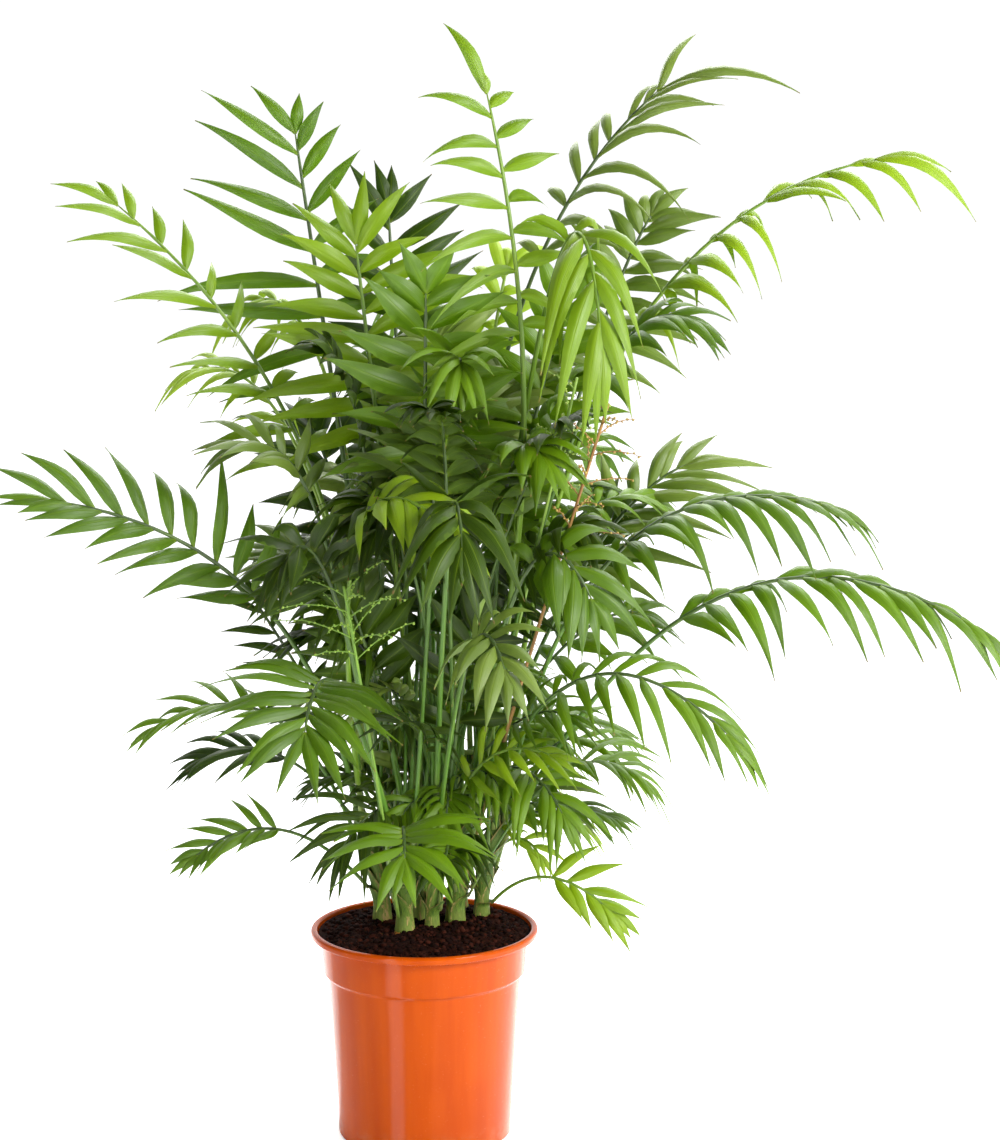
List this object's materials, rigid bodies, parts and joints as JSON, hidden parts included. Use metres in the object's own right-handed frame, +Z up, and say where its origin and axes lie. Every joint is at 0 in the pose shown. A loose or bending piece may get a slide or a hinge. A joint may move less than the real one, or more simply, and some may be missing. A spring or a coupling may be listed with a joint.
{
  "type": "potted parlour palm",
  "caption": "Large clumping parlour palm with arching feathered fronds and thin flower stalks, growing in a round tapered nursery pot with a rolled lip.",
  "frame": {"origin": "centre of the pot's flat underside, on the surface that it stands on", "axes": "+Z up; -Y towards the side that the plant is seen from; +X to that side's right, where the longest frond reaches"},
  "size_m": [1.0281, 0.7602, 1.1672],
  "materials": {
    "pot": "glossy moulded",
    "soil": "rough crumbly potting soil",
    "cane": "smooth green stem",
    "leaf_deep": "satin leaf",
    "leaf_dusty": "satin leaf",
    "leaf_mid": "satin leaf",
    "leaf_bright": "satin leaf",
    "leaf_lime": "satin leaf",
    "stalk_orange": "matte flower stalk",
    "stalk_green": "matte flower stalk"
  },
  "bodies": {
    "root": {"pot": "pot", "soil": "soil", "cane_back": "cane", "cane_back_left": "cane", "cane_back_right": "cane", "cane_far_right": "cane", "cane_front": "cane", "cane_front_left": "cane", "cane_left": "cane", "cane_middle": "cane", "cane_right": "cane", "frond_tall_left": "leaf_mid", "frond_upper_left": "leaf_bright", "frond_left_arching": "leaf_bright", "frond_left_pale": "leaf_lime", "frond_left_long": "leaf_mid", "frond_left_slender": "leaf_deep", "frond_left_low": "leaf_mid", "frond_left_fan": "leaf_mid", "frond_left_back_low": "leaf_deep", "frond_left_lowest": "leaf_mid", "frond_front_fan": "leaf_mid", "frond_tallest": "leaf_bright", "frond_top_right": "leaf_dusty", "frond_right_arching": "leaf_bright", "frond_right_back_upper": "leaf_dusty", "frond_right_back_middle": "leaf_dusty", "frond_right_middle": "leaf_mid", "frond_right_long": "leaf_mid", "frond_right_low_front": "leaf_mid", "frond_right_low": "leaf_mid", "frond_right_lower": "leaf_dusty", "frond_right_lowest": "leaf_bright", "frond_right_sprig": "leaf_lime", "frond_centre_left_front": "leaf_bright", "frond_left_middle": "leaf_dusty", "frond_centre_front": "leaf_deep", "frond_right_front": "leaf_mid", "frond_right_upper_front": "leaf_mid", "frond_upper_back": "leaf_deep", "frond_upper_left_pale": "leaf_lime", "frond_back_pale": "leaf_lime", "frond_low_front": "leaf_dusty", "frond_young_front": "leaf_bright", "frond_left_front": "leaf_deep", "frond_right_back_low": "leaf_deep", "frond_left_back": "leaf_deep", "frond_upper_middle": "leaf_mid", "frond_upper_right": "leaf_mid", "frond_low_left_inner": "leaf_deep", "frond_low_right_inner": "leaf_deep", "frond_right_hanging": "leaf_bright", "frond_inner_back": "leaf_deep", "frond_rear_left": "leaf_mid", "frond_rear_right": "leaf_mid", "frond_rear_low": "leaf_mid", "frond_rear_high": "leaf_mid", "flower_stalk_left": "stalk_green", "flower_stalk_middle": "stalk_green", "flower_stalk_right": "stalk_orange"}
  },
  "joints": []
}
